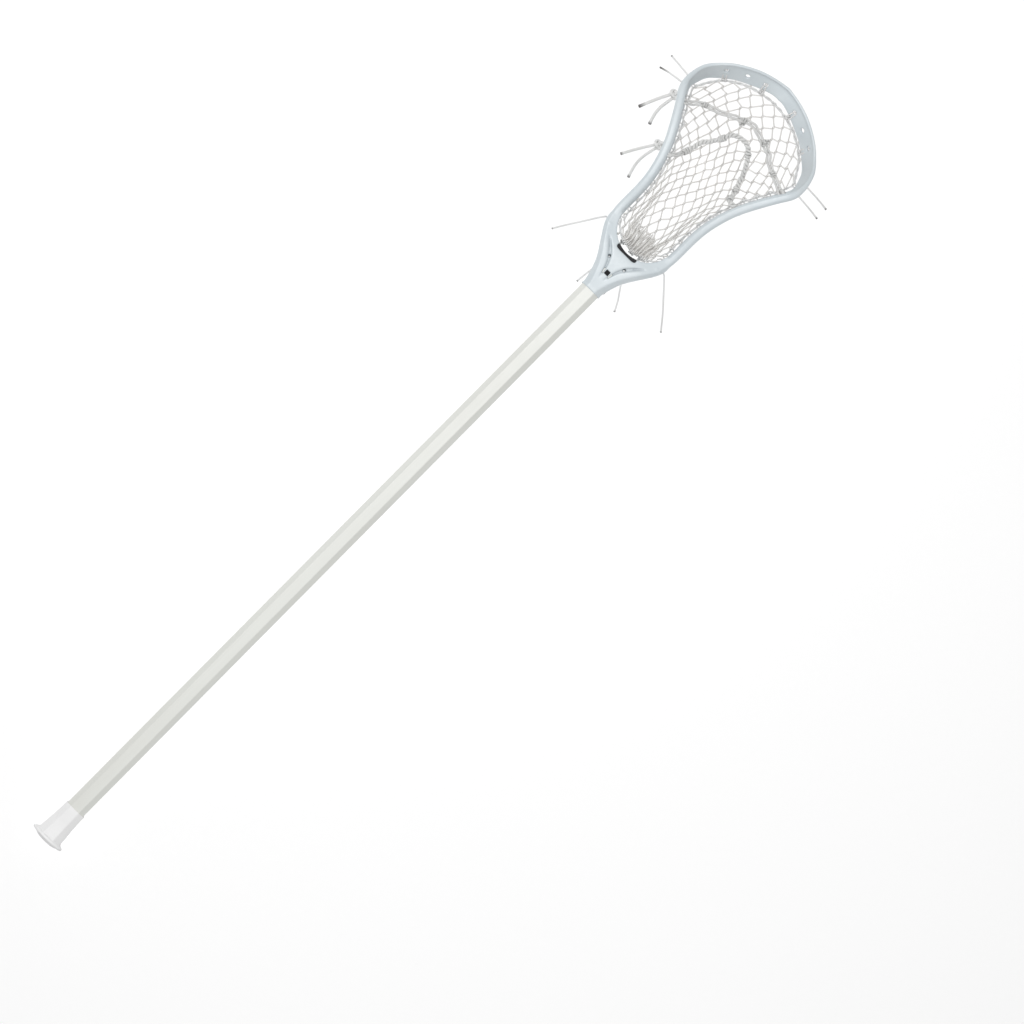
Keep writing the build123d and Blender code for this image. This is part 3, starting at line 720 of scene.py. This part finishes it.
def make_sidewall(name, side, material):
    """String that laces the net's edge to the rail: it dips through each hole and hitches back.
    Its lower end goes under the rail's foot, out to the cut tail."""
    rng = np.random.default_rng(40 + side)
    cord = Cords()
    points = []
    for i in range(HOLE_COUNT):
        y = HOLES_FROM + i * HOLE_PITCH
        half, edge, _ = pocket_row(y)
        sway = rng.normal(0, 0.5, 3)
        points += [
            (side * (half - 2.0 + sway[0]), y - 5.0, edge + 2.6), (side * (half - 0.6), y - 2.2, edge + 3.2),
            (side * (half + 2.6), y - 0.7, edge + 0.9), (side * (half + 2.8), y + 0.6, edge + 0.5),
            (side * (half - 1.4), y + 1.6, edge + 0.6), (side * (half - 2.6 + sway[1]), y - 0.4, edge + 2.6),
            (side * (half - 1.6 + sway[2]), y + 3.4, edge + 3.0),
        ]
    cord.add(smooth(points, 4), THIN_R)
    run = smooth([(side * (half - 1.4), y, edge + 1.4) for y, half, edge, _ in POCKET_ROWS[2:14]], 6)
    cord.add(run, THIN_R)
    tail_start = next(tail[4][0] for tail in TAILS if tail[0] == "tail_side_" + name)
    under_foot = [(side * x, y, z) for x, y, z in UNDER_FOOT]
    under_foot += [(side * 42.4, tail_start[1] + 0.5, -20.6), tail_start]
    cord.add(smooth(under_foot, 5), 0.8)
    piece = cord.build("string_sidewall_" + name, material)
    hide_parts("sidewall_string_" + name)


def make_top_string(material):
    """String along the scoop, looped up through four of the scoop's holes."""
    cord = Cords()
    xs = np.linspace(-TOP_LINE[-1][0], TOP_LINE[-1][0], 44)
    line = np.array([on_net(x, top_y(x), 0.9 + 0.4 * math.sin(0.5 * x)) for x in xs])
    add_pair(cord, smooth(line, 3), gap=0.75, rise=0.75, pitch=17.0, twist=True, radius=THICK_R, wide=1.0)
    for hole in SCOOP_HOLES:
        foot_x = 0.9 * hole[0]
        foot = on_net(foot_x, top_y(foot_x), 1.0)
        up = np.array(hole) - foot
        across = np.cross(up, RISE)
        across /= np.linalg.norm(across)
        # One leg of the loop from foot to hole: share of the way up, then mm of rise and mm across
        leg = [(0.0, -1.6, 1.4), (0.0, 1.8, 2.2), (0.5, 2.8, 1.8), (0.95, 1.6, 1.0)]
        loop = [(u, z, -a) for u, z, a in leg] + [(1.12, 0.4, 0.0)] + leg[::-1]
        points = [foot + u * up + z * RISE + a * across for u, z, a in loop]
        cord.add(smooth(points, 5), THICK_R)
        cord.add(knot_line(foot + 0.18 * up + 2.0 * RISE, 2.4, turn=hole[0]), 0.95, closed=True)
    piece = cord.build("string_top", material)
    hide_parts("top_string")


def make_bottom_string(material):
    """String that gathers the net's foot: it hooks the crowded cords, then ties off under the throat."""
    cord = Cords()
    hem = smooth(HEM_LINE, 10)
    cord.add(hem, 0.95)
    for place, turns in HEM_WRAPS:
        add_wrap(cord, hem, place, turns, pitch=2.1, wrap_r=2.3, radius=1.0)
    for side, (far_x, far_y, far_z) in HEM_TIES:
        for shift in (0.0, TIE_SPACING):
            tie = [(11.6 + shift, 63.4, HEM_Z + 1.6), (11.6 + shift, 61.0, HEM_Z - 1.6),
                   (11.8 + shift, 59.2, -21.8), (12.0 + 0.6 * shift, 54.5, -23.8),
                   (far_x + 0.6 * shift, far_y + 1.5, far_z - 0.3), (far_x, far_y - 2.0, far_z + 0.6)]
            cord.add(smooth([(side * x, y, z) for x, y, z in tie], 6), 0.8)
        knot = knot_line((side * far_x, far_y - 1.0, far_z - 0.2), 3.0, turn=0.8, tip=0.4)
        cord.add(knot, 1.25, closed=True)
    piece = cord.build("string_bottom", material)
    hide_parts("bottom_string")


# The two shooting laces: plan points over the net, the points to each rail's window at the left and
# right end, the wraps as (place, turns), and the rings in the windows as (centre, outward, wide, high, up)
LOWER_LACE = [
    (-36.4, 166.2), (-31.2, 181.8), (-28.0, 194.3), (-20.8, 202.6), (-14.0, 212.6), (-9.4, 221.3),
    (0.0, 225.4), (10.4, 224.4), (17.7, 218.1), (22.9, 210.9), (28.0, 201.5), (31.2, 192.2), (35.3, 181.8),
    (37.4, 168.5),
]
LOWER_LEFT = [(-56.0, 159.0, -17.2), (-46.5, 158.4, -16.8), (-39.5, 160.0, -17.6)]
LOWER_RIGHT = [(41.6, 167.4, -19.0), (46.0, 167.8, -17.2), (52.0, 168.0, -17.4)]
LOWER_WRAPS = [((-18.7, 214.0), 3.0), ((-33.0, 176.0), 3.5), ((34.6, 184.0), 2.5), ((36.6, 173.0), 3.0),
               ((17.7, 218.1), 2.0)]
LOWER_RINGS = [((49.4, 168.2, -25.2), (0.95, -0.3), 5.2, 7.8, (0.2, 0.9, 0.1)),
               ((-44.6, 157.4, -24.9), (-0.98, -0.2), 5.2, 7.6, (0.2, 0.9, 0.1))]
UPPER_LACE = [
    (-65.4, 213.0), (-54.0, 222.3), (-36.4, 228.5), (-22.9, 234.8), (-8.3, 241.0), (0.0, 243.1),
    (10.4, 240.4), (20.8, 236.9), (31.2, 233.7), (39.5, 226.9), (51.9, 221.3), (65.4, 215.0),
]
UPPER_LEFT = [(-81.0, 208.0, -13.6), (-75.0, 208.4, -13.2), (-69.4, 209.6, -14.6)]
UPPER_RIGHT = [(68.6, 212.0, -15.6), (72.0, 212.6, -12.8), (76.0, 213.0, -12.6)]
UPPER_WRAPS = [((20.8, 236.9), 1.5), ((-10.4, 240.0), 1.5), ((-52.0, 223.0), 2.0), ((50.0, 222.0), 2.0)]
UPPER_RINGS = [((73.6, 212.6, -16.6), (0.88, -0.5), 5.4, 6.6, (0.5, 0.8, 0.1)),
               ((-73.2, 209.4, -17.4), (-0.88, -0.5), 5.4, 6.6, (-0.5, 0.8, 0.1))]
UPPER_KNOTS = [(21.8, 241.0), (-10.4, 236.6)]


def lace_line(plan, start, end, lift, bob, cell):
    """Line of a lace: out of the rail's window, over and under the net's strands, and out again.  It
    runs at lift over the net and bobs by bob once in each cell."""
    flat = smooth(plan, 8)
    run = np.concatenate([[0], np.cumsum(np.linalg.norm(np.diff(flat, axis=0), axis=1))])
    woven = [on_net(x, y, lift + bob * math.sin(2 * math.pi * s / cell)) for (x, y), s in zip(flat, run)]
    return smooth(list(start) + woven[2:-2:2] + list(end), 3)


def add_rings(lace, rings, radius):
    """Turns of a lace through the windows of the rails."""
    for centre, outward, wide, high, up in rings:
        lace.add(ring_line(centre, outward, wide, high), radius, sides=10, up=up, closed=True)


def make_lower_lace(material):
    """Lace of two strands that are twisted round each other."""
    line = lace_line(LOWER_LACE, LOWER_LEFT, LOWER_RIGHT, lift=1.7, bob=0.5, cell=9.0)
    lace = Cords()
    add_pair(lace, line, gap=1.35, rise=1.1, pitch=9.5, twist=True, radius=1.05, wide=1.5)
    for place, turns in LOWER_WRAPS:
        add_wrap(lace, line, place, turns, pitch=2.6, wrap_r=2.7, radius=1.15)
    add_rings(lace, LOWER_RINGS, 1.3)
    lace.add(knot_line((43.4, 168.6, -19.6), 3.2, turn=0.4, tip=0.9), 1.3, closed=True)
    piece = lace.build("lace_lower", material)
    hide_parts("shooting_lace_lower")


def make_upper_lace(material):
    """Lace of two strands that run side by side, with two knots on the net."""
    line = lace_line(UPPER_LACE, UPPER_LEFT, UPPER_RIGHT, lift=1.5, bob=0.7, cell=11.0)
    lace = Cords()
    add_pair(lace, line, gap=1.7, rise=0.8, pitch=24.0, twist=False, radius=0.95, wide=1.35)
    for place, turns in UPPER_WRAPS:
        add_wrap(lace, line, place, turns, pitch=2.4, wrap_r=2.6, radius=0.95)
    for x, y in UPPER_KNOTS:
        lace.add(knot_line(on_net(x, y, 2.0), 3.0, turn=x), 0.95, closed=True)
    add_rings(lace, UPPER_RINGS, 1.2)
    lace.add(knot_line((68.2, 214.2, -17.4), 3.0, turn=0.4, tip=0.9), 1.2, closed=True)
    piece = lace.build("lace_upper", material)
    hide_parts("shooting_lace_upper")


def make_lace_knot(name, place, size, radius, material):
    """Stop knot of a lace, pulled down against the outside of the rail, up to where its tails start."""
    knot = Cords()
    knot.add(knot_line(place, size, turn=0.5, tip=0.35), radius, sides=12, wide=1.15, closed=True)
    knot.add(knot_line(place, 0.62 * size, turn=1.9, tip=1.2), radius, sides=12, closed=True)
    for tail_name, diameter, _, _, route in TAILS:
        if tail_name.startswith("tail_" + name + "_lace"):
            start, ahead = np.array(route[:2], float)
            back = start - 0.3 * (ahead - start)
            knot.add(smooth([place, 0.5 * (back + place), back, start], 5), 0.5 * diameter, sides=12)
    piece = knot.build("knot_" + name, material)
    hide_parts("knot_lace_" + name)


# ---- Scene --------------------------------------------------------------------------------
add_camera()
# The darkest colour given to each moulded and braided material is painted shade for its creases.
string_nylon = braided(
    "string_nylon", colour=(0.88, 0.88, 0.875), shade=(0.68, 0.68, 0.675), painted_crease_shade=(0.4, 0.4, 0.395),
    strands=4.0, pitch=1.4)
lace_nylon = braided(
    "lace_nylon", colour=(0.86, 0.86, 0.85), shade=(0.66, 0.66, 0.65), painted_crease_shade=(0.4, 0.4, 0.39),
    strands=6.0, pitch=0.9)
for tail in TAILS:
    if "lace" in tail[0]:
        make_tail(*tail, lace_nylon, "lace_nylon")
    else:
        make_tail(*tail, string_nylon, "string_nylon")
add_stage()

head_plastic = moulded(
    "head_plastic", colour=(0.595, 0.645, 0.67), shade=(0.55, 0.605, 0.635), painted_crease_shade=(0.22, 0.26, 0.29),
    roughness=0.38, grain_scale=1500.0, grain_depth=0.00004, Coat_Weight=0.2, Coat_Roughness=0.25)
cap_rubber = moulded(
    "cap_rubber", colour=(0.82, 0.82, 0.82), shade=(0.78, 0.78, 0.78), painted_crease_shade=(0.62, 0.62, 0.62),
    roughness=0.6, grain_scale=2200.0, grain_depth=0.00006)
stop_rubber = moulded(
    "stop_rubber", colour=(0.012, 0.012, 0.014), shade=(0.02, 0.02, 0.022), painted_crease_shade=(0.006, 0.006, 0.006),
    roughness=0.8, grain_scale=2600.0, grain_depth=0.0002)
dark_plastic = moulded(
    "dark_plastic", colour=(0.008, 0.008, 0.009), shade=(0.012, 0.012, 0.013), painted_crease_shade=(0.005, 0.005, 0.005),
    roughness=0.7, grain_scale=2200.0, grain_depth=0.00004, Specular_IOR_Level=0.2)
shaft_lacquer = lacquered("shaft_lacquer", colour=(0.70, 0.71, 0.675), shade=(0.66, 0.665, 0.63))
screw_steel = steel("screw_steel", colour=(0.42, 0.42, 0.43))
net_nylon = braided(
    "net_nylon", colour=(0.90, 0.885, 0.86), shade=(0.74, 0.725, 0.70), painted_crease_shade=(0.42, 0.405, 0.385),
    strands=3.0, pitch=1.6)

rounded_copy("head_frame", "head", head_plastic, "stick", voxel=0.8 * MM, passes=4)
rounded_copy("butt_cap", "cap", cap_rubber, "cap", voxel=0.7 * MM, passes=4)
rounded_copy("ball_stop", "stop", stop_rubber, "stick", voxel=0.4 * MM, passes=36)
dress("shaft", shaft_lacquer)
dress("throat_inlay", dark_plastic)
dress("head_screw", screw_steel)

net = make_net(net_nylon)
make_gather(net_nylon)
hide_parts("pocket_mesh")
make_sidewall("left", -1, string_nylon)
make_sidewall("right", 1, string_nylon)
make_top_string(string_nylon)
make_bottom_string(string_nylon)
make_lower_lace(lace_nylon)
make_upper_lace(lace_nylon)
make_lace_knot("lower", (-56.4, 159.4, -17.4), size=4.6, radius=1.5, material=lace_nylon)
make_lace_knot("upper", (-81.4, 208.0, -13.8), size=4.6, radius=1.6, material=lace_nylon)
